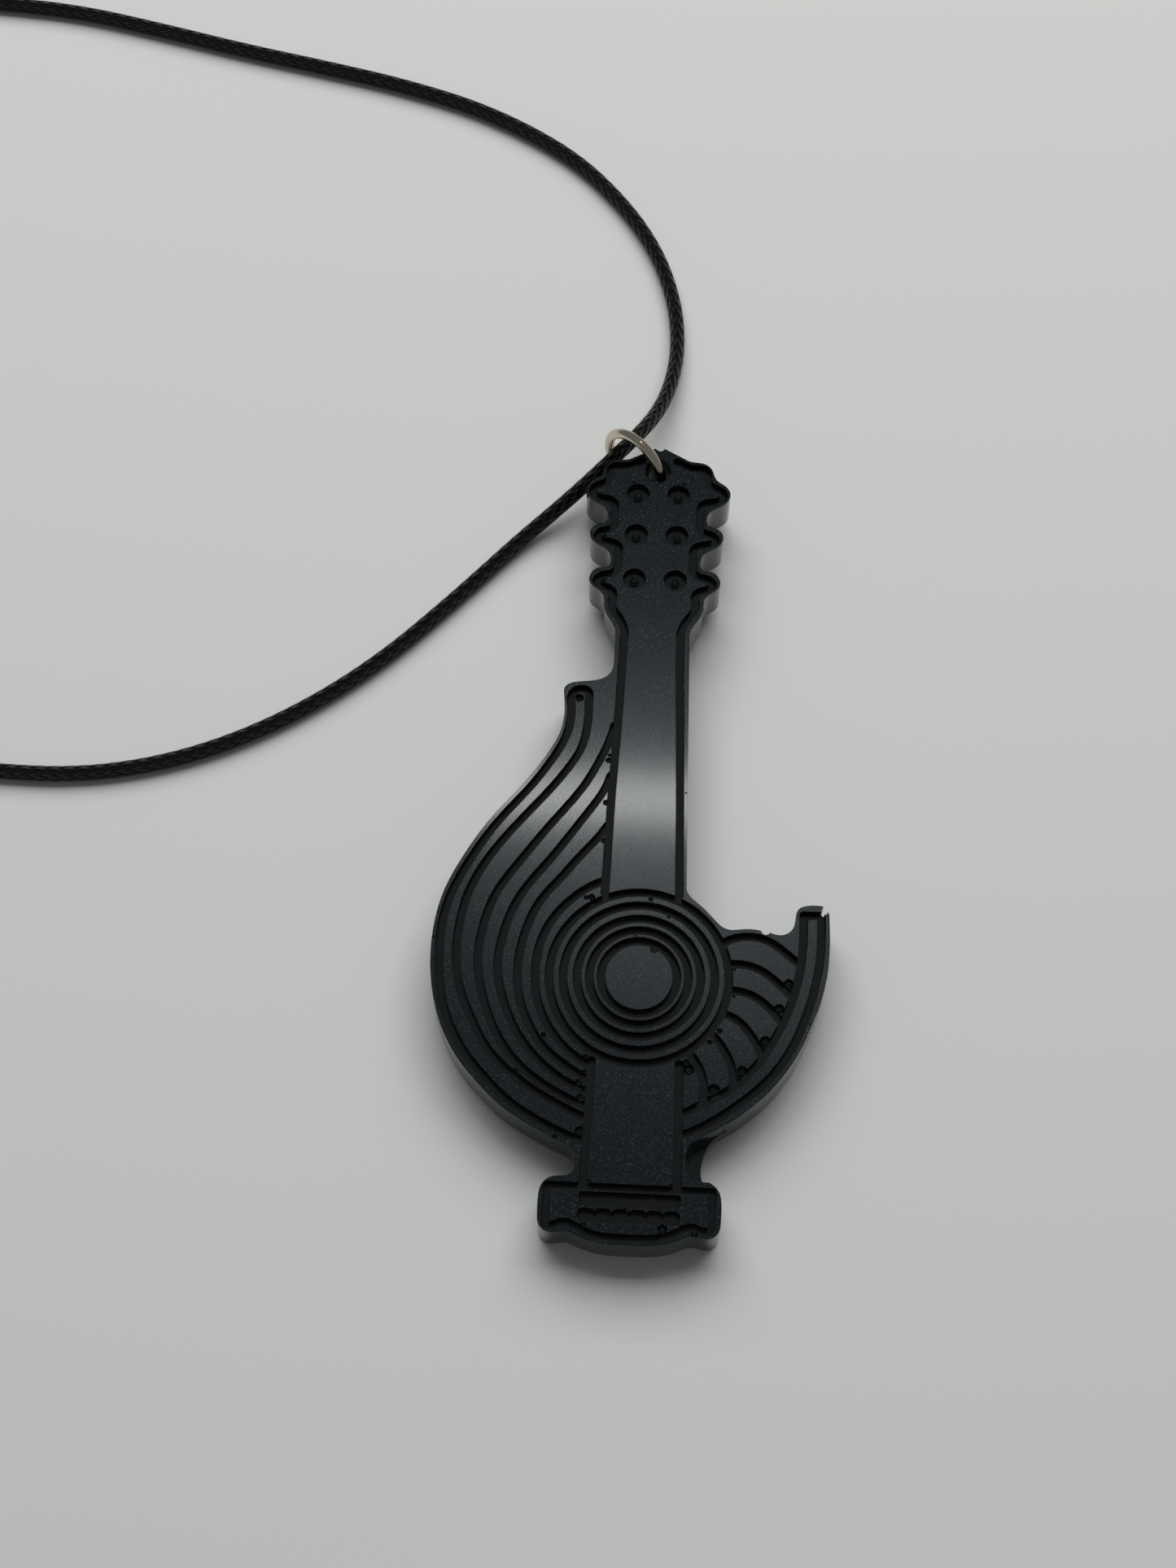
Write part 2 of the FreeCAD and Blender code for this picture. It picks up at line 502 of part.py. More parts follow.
def circleSketch(body, name, role, centre, expressions):
    """Concentric circles whose radii follow the sheet."""
    sketch = body.newObject("Sketcher::SketchObject", name)
    sketch.AttachmentSupport = [(originPlane(body, role), "")]
    sketch.MapMode = "FlatFace"
    for k, expression in enumerate(expressions):
        at = Vector(centre[0], centre[1], 0)
        sketch.addGeometry(Part.Circle(at, Vector(0, 0, 1), 1.0 + k), False)
        row = sketch.addConstraint(Sketcher.Constraint("Radius", k, 1.0 + k))
        sketch.setExpression("Constraints[%d]" % row, expression)
        sketch.addConstraint(Sketcher.Constraint("DistanceX", -1, 1, k, 3, centre[0]))
        sketch.addConstraint(Sketcher.Constraint("DistanceY", -1, 1, k, 3, centre[1]))
    return sketch


def addEye(body, centre_x):
    """An upright eye at the end of a fitting, bored across its length."""
    rings = ["Sheet.eye_hole / 2 + Sheet.eye_wall", "Sheet.eye_hole / 2"]
    sketch = circleSketch(body, body.Name + "_eye", "XZ_Plane", (centre_x, 0.0), rings)
    pad = body.newObject("PartDesign::Pad", body.Name + "_eye_pad")
    pad.Profile = sketch
    pad.Midplane = True
    pad.setExpression("Length", "Sheet.eye_thickness")
    doc.recompute()


def cordCap(name, placement):
    """A crimped end cap that grips the cord, with an eye on its closed end."""
    bore = size("cord_diameter") / 2 + size("cord_clearance")
    outer = bore + size("cap_wall")
    neck = outer - size("crimp_depth")
    mouth = -size("cap_grip")
    close = size("cap_length") - size("cap_grip")
    wide = size("crimp_width")
    profile = [(mouth, bore), (mouth, outer)]
    for k in (1, 2):
        start = mouth + wide * (2 * k - 1)
        profile += [(start, outer), (start + 0.15, neck), (start + wide - 0.15, neck), (start + wide, outer)]
    profile += [(close - 0.5, outer), (close, outer - 0.5), (close, 0.0), (0.02, 0.0), (0.02, bore)]
    body = doc.addObject("PartDesign::Body", name)
    body.Label = name
    sketch = closedSketch(body, name + "_profile", "XZ_Plane", profile)
    spin = body.newObject("PartDesign::Revolution", name + "_turned")
    spin.Profile = sketch
    spin.ReferenceAxis = (sketch, ["H_Axis"])
    spin.Angle = 360
    doc.recompute()
    addEye(body, close + size("eye_hole") / 2 + size("eye_wall") / 2)
    body.Placement = placement
    return body


def eyeCentre():
    """Where a cap's eye is, beyond the cord's end."""
    return size("cap_length") - size("cap_grip") + size("eye_hole") / 2 + size("eye_wall") / 2


def linkRing(name, placement):
    ring = doc.addObject("Part::Torus", name)
    ring.Label = name
    ring.setExpression("Radius1", "(Sheet.link_ring_outside - Sheet.link_wire) / 2")
    ring.setExpression("Radius2", "Sheet.link_wire / 2")
    ring.Placement = placement
    return ring


def along(placement, x):
    return placement.multiply(FreeCAD.Placement(Vector(x, 0, 0), FreeCAD.Rotation()))


def arcPoints(centre, radius, start, end, steps):
    """Corners of a short faceted arc, in degrees."""
    angles = [math.radians(start + (end - start) * k / steps) for k in range(steps + 1)]
    return [(centre[0] + radius * math.cos(a), centre[1] + radius * math.sin(a)) for a in angles]


CLAW_X = 7.4
LEVER_PIVOT = (4.0, 1.45)
TIP_ANGLE = 58.0
SLOT_FLOOR = -0.95


def clawBody(placement):
    """The clasp's hook and forked tail, which holds the lever on its pin."""
    body = doc.addObject("PartDesign::Body", "clasp_body")
    body.Label = "clasp_body"
    outline = [(0.9, -0.75), (2.2, -1.7), (4.0, -1.95)]
    outline += arcPoints((CLAW_X, 0), size("claw_outside"), 215, 360 + TIP_ANGLE, 24)
    outline += arcPoints((CLAW_X, 0), size("claw_inside"), TIP_ANGLE, -205, 30)
    outline += [(5.5, 1.5), (5.0, 2.05), (4.3, 2.3), (3.3, 2.25), (2.0, 1.6), (0.9, 0.75)]
    pad = body.newObject("PartDesign::Pad", "claw_pad")
    pad.Profile = closedSketch(body, "claw_outline", "XY_Plane", outline)
    pad.Midplane = True
    pad.setExpression("Length", "Sheet.clasp_thickness")
    doc.recompute()
    slot_outline = [(1.9, SLOT_FLOOR), (5.8, SLOT_FLOOR), (5.8, 3.5), (1.9, 3.5)]
    slot = body.newObject("PartDesign::Pocket", "lever_slot")
    slot.Profile = closedSketch(body, "slot_outline", "XY_Plane", slot_outline)
    slot.Midplane = True
    slot.setExpression("Length", "Sheet.lever_thickness + 2 * Sheet.lever_gap")
    doc.recompute()
    hole = body.newObject("PartDesign::Pocket", "pin_hole")
    hole.Profile = circleSketch(body, "pin_hole_circle", "XY_Plane", LEVER_PIVOT, ["Sheet.pin_radius"])
    hole.Midplane = True
    hole.setExpression("Length", "Sheet.clasp_thickness + 1")
    doc.recompute()
    addEye(body, 0.0)
    body.Placement = placement
    return body


def claspLever(placement):
    """The gate that closes the hook from inside its tip, with a thumb tab beside its pivot."""
    body = doc.addObject("PartDesign::Body", "clasp_lever")
    body.Label = "clasp_lever"
    gate = [(8.22, 1.72), (7.9, 2.02), (7.2, 2.3), (6.3, 2.45), (5.4, 2.5), (4.75, 2.65), (4.4, 3.2),
            (3.95, 3.7), (3.4, 3.8), (3.0, 3.5), (3.0, 2.9), (3.15, 2.2)]
    gate += arcPoints(LEVER_PIVOT, 0.85, 180, 320, 8)
    gate += [(5.2, 1.15), (5.9, 1.42), (6.7, 1.5), (7.4, 1.38), (8.15, 1.08), (8.48, 1.38)]
    pad = body.newObject("PartDesign::Pad", "lever_pad")
    pad.Profile = closedSketch(body, "lever_outline", "XY_Plane", gate)
    pad.Midplane = True
    pad.setExpression("Length", "Sheet.lever_thickness")
    doc.recompute()
    hole = body.newObject("PartDesign::Pocket", "lever_bore")
    radius = "Sheet.pin_radius + Sheet.pin_clearance"
    hole.Profile = circleSketch(body, "lever_bore_circle", "XY_Plane", LEVER_PIVOT, [radius])
    hole.Midplane = True
    hole.setExpression("Length", "Sheet.lever_thickness + 1")
    doc.recompute()
    body.Placement = placement
    return body


def claspPin(placement):
    pin = doc.addObject("Part::Cylinder", "clasp_pin")
    pin.Label = "clasp_pin"
    pin.setExpression("Radius", "Sheet.pin_radius")
    pin.setExpression("Height", "Sheet.clasp_thickness")
    low = Vector(LEVER_PIVOT[0], LEVER_PIVOT[1], -size("clasp_thickness") / 2)
    pin.Placement = placement.multiply(FreeCAD.Placement(low, FreeCAD.Rotation()))
    return pin


def claspSpring(placement):
    """The leaf spring bent into the tail's slot, which bears under the lever's heel."""
    centre_line = [Vector(4.9, -0.85, 0), Vector(3.6, -0.85, 0), Vector(2.6, -0.68, 0), Vector(2.2, -0.15, 0),
                   Vector(2.5, 0.32, 0), Vector(3.2, 0.46, 0), Vector(3.95, 0.47, 0)]
    half = size("lever_thickness") / 2
    feature = doc.addObject("Part::Feature", "clasp_spring")
    feature.Label = "clasp_spring"
    feature.Shape = prism(stroke(centre_line, size("spring_strip")), -half, half)
    feature.Placement = placement
    return feature


def linkShape(inner_length, inner_width, wire):
    """One welded oval link, its length along X, lying flat."""
    bend = (inner_width + wire) / 2
    straight = inner_length - inner_width
    solid = None
    for side in (-1, 1):
        turned = FreeCAD.Rotation(Vector(0, 0, 1), -90 * side)
        end = Part.makeTorus(bend, wire / 2, Vector(0, 0, 0), Vector(0, 0, 1), 0, 360, 180)
        end.Placement = FreeCAD.Placement(Vector(side * straight / 2, 0, 0), turned)
        bar = Part.makeCylinder(wire / 2, straight, Vector(-straight / 2, side * bend, 0), Vector(1, 0, 0))
        for piece in (end, bar):
            solid = piece if solid is None else solid.fuse(piece)
    return solid.removeSplitter()


def chainLink(number, placement):
    """Odd links stand on edge and even links lie flat."""
    name = "chain_link_%02d" % number
    feature = doc.addObject("Part::Feature", name)
    feature.Label = name
    feature.Shape = linkShape(size("chain_inner_length"), size("chain_inner_width"), size("link_wire"))
    roll = FreeCAD.Rotation(Vector(1, 0, 0), 90 if number % 2 else 0)
    feature.Placement = placement.multiply(FreeCAD.Placement(Vector(0, 0, 0), roll))
    return feature


def endDrop(placement):
    """The small drop that finishes the chain."""
    body = doc.addObject("PartDesign::Body", "end_drop")
    body.Label = "end_drop"
    start = size("eye_hole") / 2 + size("eye_wall") / 2
    length, radius = size("drop_length"), size("drop_radius")
    profile = [(start, 0.0), (start, 0.45)]
    for k in range(1, 12):
        share = k / 12
        bulge = math.sin(math.pi * share ** 1.6) ** 0.8
        profile.append((start + length * share, max(0.45 * (1 - share), radius * bulge)))
    profile.append((start + length, 0.0))
    spin = body.newObject("PartDesign::Revolution", "drop_turned")
    sketch = closedSketch(body, "drop_profile", "XZ_Plane", profile)
    spin.Profile = sketch
    spin.ReferenceAxis = (sketch, ["H_Axis"])
    spin.Angle = 360
    doc.recompute()
    addEye(body, 0.0)
    body.Placement = placement
    return body


def claspGroup():
    """Cap, small ring and clasp on the cord's first end."""
    ring_r = (size("link_ring_outside") - size("link_wire")) / 2
    ring_x = eyeCentre() + ring_r
    clasp = along(CLASP_END, ring_x + ring_r)
    return [
        cordCap("cord_cap_clasp", CLASP_END),
        linkRing("link_ring_clasp", along(CLASP_END, ring_x)),
        clawBody(clasp),
        claspLever(clasp),
        claspPin(clasp),
        claspSpring(clasp),
    ]


def chainGroup():
    """Cap, small ring, extension chain and drop on the cord's other end."""
    wire, slack = size("link_wire"), size("chain_slack")
    ring_r = (size("link_ring_outside") - wire) / 2
    ring_x = eyeCentre() + ring_r
    half_link = (size("chain_inner_length") + wire) / 2
    pieces = [cordCap("cord_cap_chain", CHAIN_END), linkRing("link_ring_chain", along(CHAIN_END, ring_x))]
    x = ring_x + ring_r - wire - slack + half_link
    pivots = [eyeCentre(), ring_x + ring_r - wire - slack]
    for number in range(1, int(size("chain_links")) + 1):
        pieces.append(chainLink(number, along(CHAIN_END, x)))
        upright = number % 2 == 1
        grip = x + half_link - (0 if upright else wire + slack)
        pivots.append(grip)
        x += size("chain_inner_length") - slack
    last_wire = x - size("chain_inner_length") + slack + half_link
    pivots[-1] = last_wire
    pieces.append(endDrop(along(CHAIN_END, last_wire)))
    return pieces, pivots


def report(pivots):
    """Joint places, in millimetres."""
    print("rest tilt %.4f deg" % rest_tilt)
    print("ring swing at", resting.multVec(hole_at + Vector(0, 0, size("plate_thickness") / 2)))
    ring_r = (size("link_ring_outside") - size("link_wire")) / 2
    clasp_x = eyeCentre() + 2 * ring_r
    for name, x, y in (("link_ring_clasp", eyeCentre(), 0), ("clasp", clasp_x, 0),
                       ("lever", clasp_x + LEVER_PIVOT[0], LEVER_PIVOT[1])):
        print(name, CLASP_END.multVec(Vector(x, y, 0)))
    for k, x in enumerate(pivots):
        print("chain pivot", k, CHAIN_END.multVec(Vector(x, 0, 0)))


nodes = [pendant(), jumpRing(), cord()] + claspGroup()
chain_nodes, chain_pivots = chainGroup()
nodes += chain_nodes
doc.recompute()
for item in doc.Objects:
    if "Invalid" in item.State or "Error" in item.State:
        raise RuntimeError("%s failed: %s" % (item.Name, item.State))
for node in nodes:
    if node.Shape.isNull() or not node.Shape.isValid():
        raise RuntimeError("%s has no valid shape" % node.Label)
for node in nodes:
    node.Shape.exportStep("parts/%s.step" % node.Label)
report(chain_pivots)
print("wrote", len(nodes), "parts")
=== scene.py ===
import math

import bmesh
import bpy
import numpy as np
from mathutils import Matrix, Vector
from mathutils.bvhtree import BVHTree
import json


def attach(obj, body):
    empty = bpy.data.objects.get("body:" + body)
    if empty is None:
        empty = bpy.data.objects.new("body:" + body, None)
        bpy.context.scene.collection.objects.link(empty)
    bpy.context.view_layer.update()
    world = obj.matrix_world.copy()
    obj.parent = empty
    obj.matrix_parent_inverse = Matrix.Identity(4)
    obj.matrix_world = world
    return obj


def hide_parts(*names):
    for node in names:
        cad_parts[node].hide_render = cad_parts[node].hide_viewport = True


with open("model.json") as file:
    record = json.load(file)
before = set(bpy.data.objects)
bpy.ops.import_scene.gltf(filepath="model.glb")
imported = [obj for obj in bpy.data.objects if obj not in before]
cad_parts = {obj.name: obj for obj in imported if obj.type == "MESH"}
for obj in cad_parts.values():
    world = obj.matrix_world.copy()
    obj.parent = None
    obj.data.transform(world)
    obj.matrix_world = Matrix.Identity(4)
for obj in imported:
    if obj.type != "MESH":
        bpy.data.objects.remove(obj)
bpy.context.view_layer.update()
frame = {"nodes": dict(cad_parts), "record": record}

mm = 0.001
scene = bpy.context.scene


def newMaterial(name):
    material = bpy.data.materials.new(name)
    material.use_nodes = True
    tree = material.node_tree
    return material, tree, tree.nodes["Principled BSDF"]


def mathNode(tree, operation, first, second=None):
    node = tree.nodes.new("ShaderNodeMath")
    node.operation = operation
    for socket, value in zip(node.inputs, (first, second)):
        if value is None:
            continue
        if isinstance(value, (int, float)):
            socket.default_value = value
        else:
            tree.links.new(value, socket)
    return node.outputs[0]


def noiseNode(tree, coordinates, scale, detail):
    node = tree.nodes.new("ShaderNodeTexNoise")
    node.inputs["Scale"].default_value = scale
    node.inputs["Detail"].default_value = detail
    tree.links.new(coordinates, node.inputs["Vector"])
    return node.outputs["Fac"]


def bumpNode(tree, height, distance):
    node = tree.nodes.new("ShaderNodeBump")
    node.inputs["Distance"].default_value = distance
    tree.links.new(height, node.inputs["Height"])
    return node


def rampNode(tree, value, stops):
    node = tree.nodes.new("ShaderNodeValToRGB")
    ramp = node.color_ramp
    while len(ramp.elements) < len(stops):
        ramp.elements.new(0.5)
    for element, (place, colour) in zip(ramp.elements, stops):
        element.position = place
        element.color = (*colour, 1)
    tree.links.new(value, node.inputs["Fac"])
    return node.outputs["Color"]


resinLook = {
    "base": (0.001, 0.0034, 0.0048),
    "speck": (0.045, 0.052, 0.058),  # fine bright filler in the resin
    "speckScale": 6000.0,
    "speckRange": (0.6, 0.74),
    "shine": 0.24,
    "coat": 0.45,  # the glassy skin that gives the narrow part of the highlight
    "coatRoughness": 0.075,
    "faceRoughness": 0.18,
    "wallRoughness": 0.2,
    "cloudScale": 300.0,
    "cloudStrength": 0.05,
    "edgeRound": 0.11 * mm,
    "edgeSamples": 6,
    "grain": 0.0011 * mm,
    "grainScale": 4500.0,
    "tint": (0.9, 1.0, 1.03),
    "grooveBase": (0.0022, 0.0032, 0.0036),  # groove floors stay as cast, dull and black
    "grooveRoughness": 0.4,
    "grooveShine": 0.36,
}


def grooveMaterial():
    material, tree, shader = newMaterial("resinGroove")
    shader.inputs["Base Color"].default_value = (*resinLook["grooveBase"], 1)
    shader.inputs["Roughness"].default_value = resinLook["grooveRoughness"]
    shader.inputs["Specular IOR Level"].default_value = resinLook["grooveShine"]
    return material


def resinMaterial():
    material, tree, shader = newMaterial("resin")
    place = tree.nodes.new("ShaderNodeTexCoord").outputs["Object"]
    specks = noiseNode(tree, place, resinLook["speckScale"], 1.0)
    dull, bright = resinLook["speckRange"]
    stops = [(0.0, resinLook["base"]), (dull, resinLook["base"]), (bright, resinLook["speck"])]
    colour = rampNode(tree, specks, stops)
    tree.links.new(colour, shader.inputs["Base Color"])
    shader.inputs["Specular Tint"].default_value = (*resinLook["tint"], 1)
    shader.inputs["Specular IOR Level"].default_value = resinLook["shine"]
    shader.inputs["Coat Weight"].default_value = resinLook["coat"]
    shader.inputs["Coat Roughness"].default_value = resinLook["coatRoughness"]
    normal = tree.nodes.new("ShaderNodeNewGeometry").outputs["True Normal"]
    split = tree.nodes.new("ShaderNodeSeparateXYZ")
    tree.links.new(normal, split.inputs[0])
    flat = mathNode(tree, "ABSOLUTE", split.outputs["Z"])
    cloud = noiseNode(tree, place, resinLook["cloudScale"], 3.0)
    rough = mathNode(tree, "MULTIPLY", flat, resinLook["faceRoughness"] - resinLook["wallRoughness"])
    rough = mathNode(tree, "ADD", rough, resinLook["wallRoughness"] - resinLook["cloudStrength"] / 2)
    rough = mathNode(tree, "ADD", rough, mathNode(tree, "MULTIPLY", cloud, resinLook["cloudStrength"]))
    tree.links.new(rough, shader.inputs["Roughness"])
    grain = noiseNode(tree, place, resinLook["grainScale"], 2.0)
    edge = tree.nodes.new("ShaderNodeBevel")
    edge.samples = resinLook["edgeSamples"]
    edge.inputs["Radius"].default_value = resinLook["edgeRound"]
    bump = bumpNode(tree, grain, resinLook["grain"])
    tree.links.new(edge.outputs[0], bump.inputs["Normal"])
    tree.links.new(bump.outputs[0], shader.inputs["Normal"])
    return material


nickelLook = {
    "colour": (0.66, 0.59, 0.47),
    "roughness": 0.07,
    "wear": 0.12,
    "wearScale": 900.0,
}


def nickelMaterial():
    material, tree, shader = newMaterial("nickel")
    place = tree.nodes.new("ShaderNodeTexCoord").outputs["Object"]
    shader.inputs["Metallic"].default_value = 1.0
    shader.inputs["Base Color"].default_value = (*nickelLook["colour"], 1)
    wear = noiseNode(tree, place, nickelLook["wearScale"], 3.0)
    rough = mathNode(tree, "MULTIPLY", wear, nickelLook["wear"])
    tree.links.new(mathNode(tree, "ADD", rough, nickelLook["roughness"]), shader.inputs["Roughness"])
    return material


cordLook = {
    "base": (0.002, 0.0026, 0.0024),
    # painted shade: the crevices between the braid's strands get a darker colour than the strands
    "creviceShade": (0.001, 0.001, 0.001),
    "roughness": 0.16,
    "shine": 0.3,
    "strandsRound": 6,
    "pitch": 1.9,  # along the cord, in millimetres
    "height": 0.34 * mm,
    "strandRoundness": 0.35,
    # height of the braid below which the painted crevice shade fades in
    "creviceShadeWidth": 0.35,
}


def strandArch(tree, turns):
    share = mathNode(tree, "FRACT", turns)
    return mathNode(tree, "SINE", mathNode(tree, "MULTIPLY", share, math.pi))


def cordMaterial():
    material, tree, shader = newMaterial("waxedCord")
    chart = tree.nodes.new("ShaderNodeUVMap")
    chart.uv_map = "braid"
    split = tree.nodes.new("ShaderNodeSeparateXYZ")
    tree.links.new(chart.outputs[0], split.inputs[0])
    along = mathNode(tree, "MULTIPLY", split.outputs["X"], 1.0 / cordLook["pitch"])
    around = mathNode(tree, "MULTIPLY", split.outputs["Y"], float(cordLook["strandsRound"]))
    leftWound = mathNode(tree, "ADD", along, around)
    rightWound = mathNode(tree, "SUBTRACT", along, around)
    cells = mathNode(tree, "ADD", mathNode(tree, "FLOOR", leftWound), mathNode(tree, "FLOOR", rightWound))
    parity = mathNode(tree, "ABSOLUTE", mathNode(tree, "MODULO", cells, 2.0))
    leftArch, rightArch = strandArch(tree, leftWound), strandArch(tree, rightWound)
    power = cordLook["strandRoundness"]
    leftStrand = mathNode(tree, "MULTIPLY", leftArch, mathNode(tree, "POWER", rightArch, power))
    rightStrand = mathNode(tree, "MULTIPLY", rightArch, mathNode(tree, "POWER", leftArch, power))
    odd = mathNode(tree, "MULTIPLY", leftStrand, parity)
    even = mathNode(tree, "MULTIPLY", rightStrand, mathNode(tree, "SUBTRACT", 1.0, parity))
    height = mathNode(tree, "ADD", odd, even)
    # painted shade: the low parts of the braid, between strands, are coloured darker
    colour = rampNode(tree, height, [(0.0, cordLook["creviceShade"]), (cordLook["creviceShadeWidth"], cordLook["base"])])
    tree.links.new(colour, shader.inputs["Base Color"])
    bump = bumpNode(tree, height, cordLook["height"])
    tree.links.new(bump.outputs[0], shader.inputs["Normal"])
    shader.inputs["Roughness"].default_value = cordLook["roughness"]
    shader.inputs["Specular IOR Level"].default_value = cordLook["shine"]
    return material


looks = {"resin": resinMaterial(), "nickel": nickelMaterial(), "cord": cordMaterial()}
looks["spring_steel"] = looks["nickel"]
grooveLook = grooveMaterial()


def dress(piece, slot):
    piece.data.materials.clear()
    piece.data.materials.append(looks[slot])


for part in frame["record"]["subparts"]:
    dress(frame["nodes"][part["node"]], part["material_slot"])
print("materials")


pendantPlan = {
    "tilt": math.radians(1.2638),
    "heel": (1.21, -55.1, 0.0),  # back of the bridge block, where the tilted casting touches the table
    "groove": (4.9, 5.93),  # heights above the back, from a groove's floor to just under the face
    "facing": 3.05,  # a wall with another this close in front of it is inside a groove
    "clear": 0.02,
    "floorNormal": 0.97,
    "wallNormal": 0.3,
    "weld": 0.002 * mm,
    "sharpEdge": math.radians(35),
}


def heightOnPlate(place):
    heel = Vector(pendantPlan["heel"]) * mm
    up = Vector((0, -math.sin(pendantPlan["tilt"]), math.cos(pendantPlan["tilt"])))
    return (place - heel).dot(up) / mm


def isGroove(tree, face):
    height = heightOnPlate(face.center)
    low, high = pendantPlan["groove"]
    if height > high or face.normal.z < -pendantPlan["wallNormal"]:
        return False
    if face.normal.z > pendantPlan["floorNormal"]:
        return height > low
    if face.normal.z > pendantPlan["wallNormal"]:
        return False
    start = face.center + face.normal * pendantPlan["clear"] * mm
    return tree.ray_cast(start, face.normal, pendantPlan["facing"] * mm)[0] is not None


def castPendant():
    source = frame["nodes"]["pendant"]
    mesh = bpy.data.meshes.new("pendantCasting")
    bm = bmesh.new()
    bm.from_mesh(source.data)
    bmesh.ops.remove_doubles(bm, verts=bm.verts, dist=pendantPlan["weld"])
    bmesh.ops.dissolve_degenerate(bm, edges=bm.edges, dist=pendantPlan["weld"])
    for face in bm.faces:
        face.smooth = True
    for edge in bm.edges:
        edge.smooth = len(edge.link_faces) != 2 or edge.calc_face_angle(0.0) <= pendantPlan["sharpEdge"]
    bm.to_mesh(mesh)
    bm.free()
    tree = BVHTree.FromPolygons([v.co for v in mesh.vertices], [f.vertices for f in mesh.polygons])
    piece = bpy.data.objects.new("pendantCasting", mesh)
    scene.collection.objects.link(piece)
    dress(piece, "resin")
    mesh.materials.append(grooveLook)
    for face in mesh.polygons:
        face.material_index = int(isGroove(tree, face))
    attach(piece, "pendant")
    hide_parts("pendant")


castPendant()
print("pendant")


cordSettings = {
    "diameter": 2.0,
    "sides": 20,
    "spacing": 0.5,
    "smoothness": 24,
    "route": [  # from the clasp's cap, over the jump ring, to the chain's cap
        (-121.0, 62.9, 1.5), (-127.0, 72.4, 1.5), (-134.5, 80.9, 1.0), (-141.0, 90.4, 1.0),
        (-143.0, 101.9, 1.0), (-139.5, 112.9, 1.0), (-131.5, 121.2, 1.0), (-120.8, 125.8, 1.0),
        (-109.3, 127.0, 1.0), (-97.7, 126.4, 1.0), (-86.0, 125.4, 1.0), (-73.8, 122.7, 1.0),
        (-61.6, 119.7, 1.0), (-49.5, 117.2, 1.0), (-37.6, 114.5, 1.0), (-25.3, 110.5, 1.0),
        (-13.3, 103.7, 1.0), (-5.6, 95.8, 1.0), (-0.6, 88.1, 1.0), (2.2, 80.0, 1.0), (3.0, 72.8, 1.2),
        (2.4, 66.6, 2.0), (0.9, 61.3, 3.2), (-1.3, 56.9, 4.8), (-4.2, 53.0, 5.6), (-8.4, 49.0, 3.9),
        (-12.7, 45.2, 2.3), (-16.7, 41.6, 1.3), (-21.1, 36.8, 1.0), (-26.1, 31.2, 1.0),
        (-33.5, 23.4, 1.0), (-42.0, 16.4, 1.0), (-51.5, 10.6, 1.0), (-61.4, 6.6, 1.0),
        (-71.7, 4.5, 1.0), (-82.0, 4.4, 1.0), (-92.2, 5.3, 1.0), (-102.2, 7.6, 1.0),
        (-111.6, 11.6, 1.0), (-119.9, 17.4, 1.5), (-127.0, 24.7, 1.5),
    ],
}


def routeLine(route):
    curve = bpy.data.curves.new("cordLine", "CURVE")
    curve.dimensions = "3D"
    spline = curve.splines.new("NURBS")
    spline.points.add(len(route) - 1)
    for point, place in zip(spline.points, route):
        point.co = (*[v * mm for v in place], 1)
    spline.order_u = 3
    spline.use_endpoint_u = True
    spline.resolution_u = cordSettings["smoothness"]
    line = bpy.data.objects.new("cordLine", curve)
    scene.collection.objects.link(line)
    bpy.context.view_layer.update()
    evaluated = line.evaluated_get(bpy.context.evaluated_depsgraph_get())
    mesh = bpy.data.meshes.new_from_object(evaluated)
    points = np.array([v.co for v in mesh.vertices])
    bpy.data.objects.remove(line)
    steps = np.linalg.norm(np.diff(points, axis=0), axis=1)
    travelled = np.concatenate([[0], np.cumsum(steps)])
    count = int(travelled[-1] / (cordSettings["spacing"] * mm))
    wanted = np.linspace(0, travelled[-1], count + 1)
    return np.stack([np.interp(wanted, travelled, points[:, k]) for k in range(3)], axis=1), travelled[-1]


def braidedCord():
    line, length = routeLine(cordSettings["route"])
    sides, radius = cordSettings["sides"], cordSettings["diameter"] / 2 * mm
    tangents = np.gradient(line, axis=0)
    tangents /= np.linalg.norm(tangents, axis=1)[:, None]
    bm = bmesh.new()
    chart = bm.loops.layers.uv.new("braid")
    across = Vector((0, 0, 1))
    rings = []
    for place, tangent in zip(line, tangents):
        t = Vector(tangent)
        across = (across - t * across.dot(t)).normalized()
        side = t.cross(across)
        turns = [2 * math.pi * k / sides for k in range(sides)]
        rings.append([bm.verts.new(Vector(place) + (across * math.cos(w) + side * math.sin(w)) * radius)
                      for w in turns])
    spacing = length / (len(line) - 1) / mm
    for i in range(len(rings) - 1):
        for k in range(sides):
            j = (k + 1) % sides
            face = bm.faces.new((rings[i][k], rings[i][j], rings[i + 1][j], rings[i + 1][k]))
            face.smooth = True
            corners = ((i, k), (i, k + 1), (i + 1, k + 1), (i + 1, k))
            for loop, (along, around) in zip(face.loops, corners):
                loop[chart].uv = (along * spacing, around / sides)
    bm.faces.new(rings[0])
    bm.faces.new(list(reversed(rings[-1])))
    bmesh.ops.recalc_face_normals(bm, faces=bm.faces)
    mesh = bpy.data.meshes.new("braidedCord")
    bm.to_mesh(mesh)
    bm.free()
    piece = bpy.data.objects.new("braidedCord", mesh)
    scene.collection.objects.link(piece)
    dress(piece, "cord")
    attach(piece, "ring_and_cord")
    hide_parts("cord")
    print("cord %.1f mm" % (length / mm))


braidedCord()


view = {
    "place": (0.18, -139.16, 337.97),
    "forward": (-0.01786, 0.39626, -0.91796),
    "up": (-0.04358, 0.91693, 0.39666),
    "lens": 65.39,
    "sensor": 36.0,
    "near": 0.01,
    "far": 20.0,
}


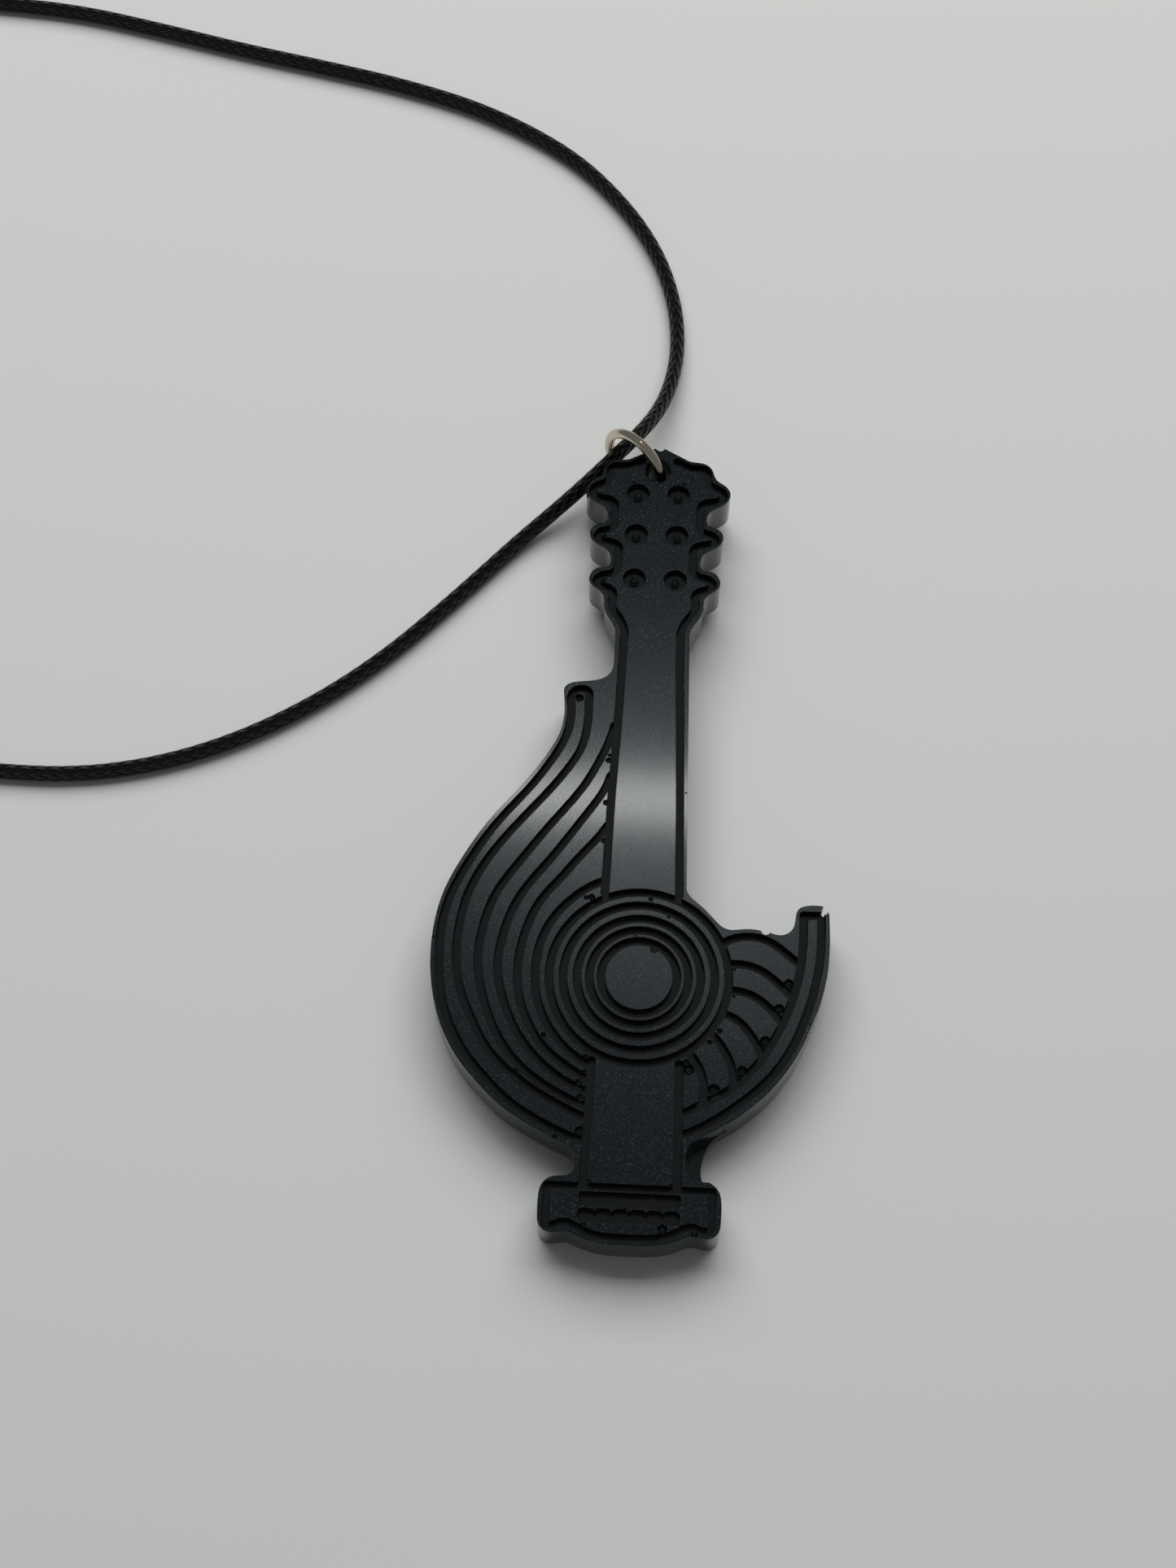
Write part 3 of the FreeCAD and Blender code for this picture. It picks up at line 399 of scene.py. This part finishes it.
def addCamera():
    camera = bpy.data.cameras.new("camera")
    camera.lens = view["lens"]
    camera.sensor_width = view["sensor"]
    camera.clip_start = view["near"]
    camera.clip_end = view["far"]
    item = bpy.data.objects.new("camera", camera)
    scene.collection.objects.link(item)
    back = -Vector(view["forward"]).normalized()
    up = Vector(view["up"])
    up = (up - back * up.dot(back)).normalized()
    right = up.cross(back)
    place = Vector(view["place"]) * mm
    item.matrix_world = Matrix.Translation(place) @ Matrix((right, up, back)).transposed().to_4x4()
    scene.camera = item


tableLook = {"colour": (0.588, 0.595, 0.578), "roughness": 0.45, "halfWidth": 3.0}


def addFloor():
    bm = bmesh.new()
    bmesh.ops.create_grid(bm, x_segments=1, y_segments=1, size=tableLook["halfWidth"])
    mesh = bpy.data.meshes.new("floor")
    bm.to_mesh(mesh)
    bm.free()
    floor = bpy.data.objects.new("floor", mesh)
    scene.collection.objects.link(floor)
    material, tree, shader = newMaterial("paleTable")
    shader.inputs["Base Color"].default_value = (*tableLook["colour"], 1)
    shader.inputs["Roughness"].default_value = tableLook["roughness"]
    mesh.materials.append(material)


lamps = {
    "ceilingLamp": {"place": (0.0, 0.562, 1.5), "aim": (0, 0, 0), "size": (0.25, 0.03), "power": 0.5,
                    "mirrored": True},
    "ceilingGlow": {"place": (0.13, 0.45, 1.5), "aim": (0, 0, 0), "size": (0.34, 0.14), "power": 0.08,
                    "mirrored": True},
    # lights the table only, so that the resin doesn't mirror it
    "roomGlow": {"place": (0.0, 0.85, 0.95), "aim": (0, 0.16, 0), "size": (1.7, 1.0), "power": 21.8,
                 "mirrored": False},
}
roomLook = {"colour": (0.96, 1.0, 1.0), "strength": 0.16}


def addLamp(name, lamp):
    light = bpy.data.lights.new(name, "AREA")
    light.shape = "RECTANGLE"
    light.size, light.size_y = lamp["size"]
    light.energy = lamp["power"]
    item = bpy.data.objects.new(name, light)
    scene.collection.objects.link(item)
    item.location = lamp["place"]
    item.rotation_mode = "QUATERNION"
    item.rotation_quaternion = (Vector(lamp["place"]) - Vector(lamp["aim"])).to_track_quat("Z", "Y")
    item.visible_glossy = lamp["mirrored"]


def addRoom():
    world = bpy.data.worlds.new("room")
    world.use_nodes = True
    background = world.node_tree.nodes["Background"]
    background.inputs["Color"].default_value = (*roomLook["colour"], 1)
    background.inputs["Strength"].default_value = roomLook["strength"]
    scene.world = world


addCamera()
addFloor()
for name, lamp in lamps.items():
    addLamp(name, lamp)
addRoom()
scene.view_settings.view_transform = "Standard"
print("camera and light")
